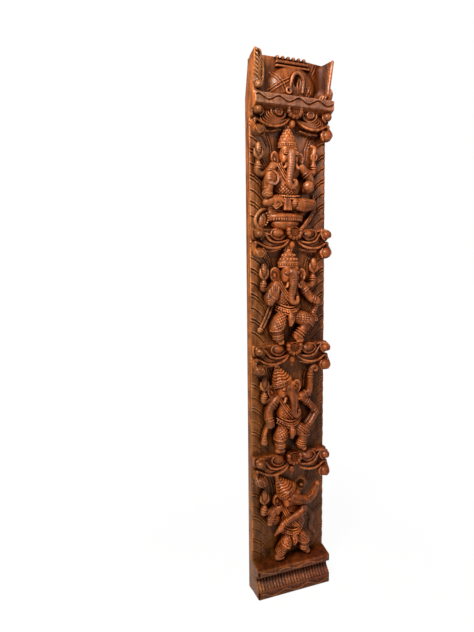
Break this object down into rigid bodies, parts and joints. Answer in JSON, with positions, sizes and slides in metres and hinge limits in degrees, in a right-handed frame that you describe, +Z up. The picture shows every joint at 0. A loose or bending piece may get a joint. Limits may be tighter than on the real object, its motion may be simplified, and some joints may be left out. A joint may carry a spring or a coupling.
{
  "type": "carved wooden door jamb panel",
  "caption": "Tall one-piece carved wooden jamb panel with niches of elephant-headed figures, scroll brackets between them, a horned crown block and a fluted plinth.",
  "frame": {"origin": "centre of the foot on the floor, midway between the two sides and midway between the wall face and the carved front", "axes": "+X to the right seen from the front, +Y into the wall, so the carving faces -Y, +Z up"},
  "size_m": [0.19, 0.06, 1.22],
  "materials": {
    "carved_wood": "polished reddish-brown varnish, darker in the recesses"
  },
  "bodies": {
    "root": {"carved_panel": "carved_wood"}
  },
  "joints": []
}
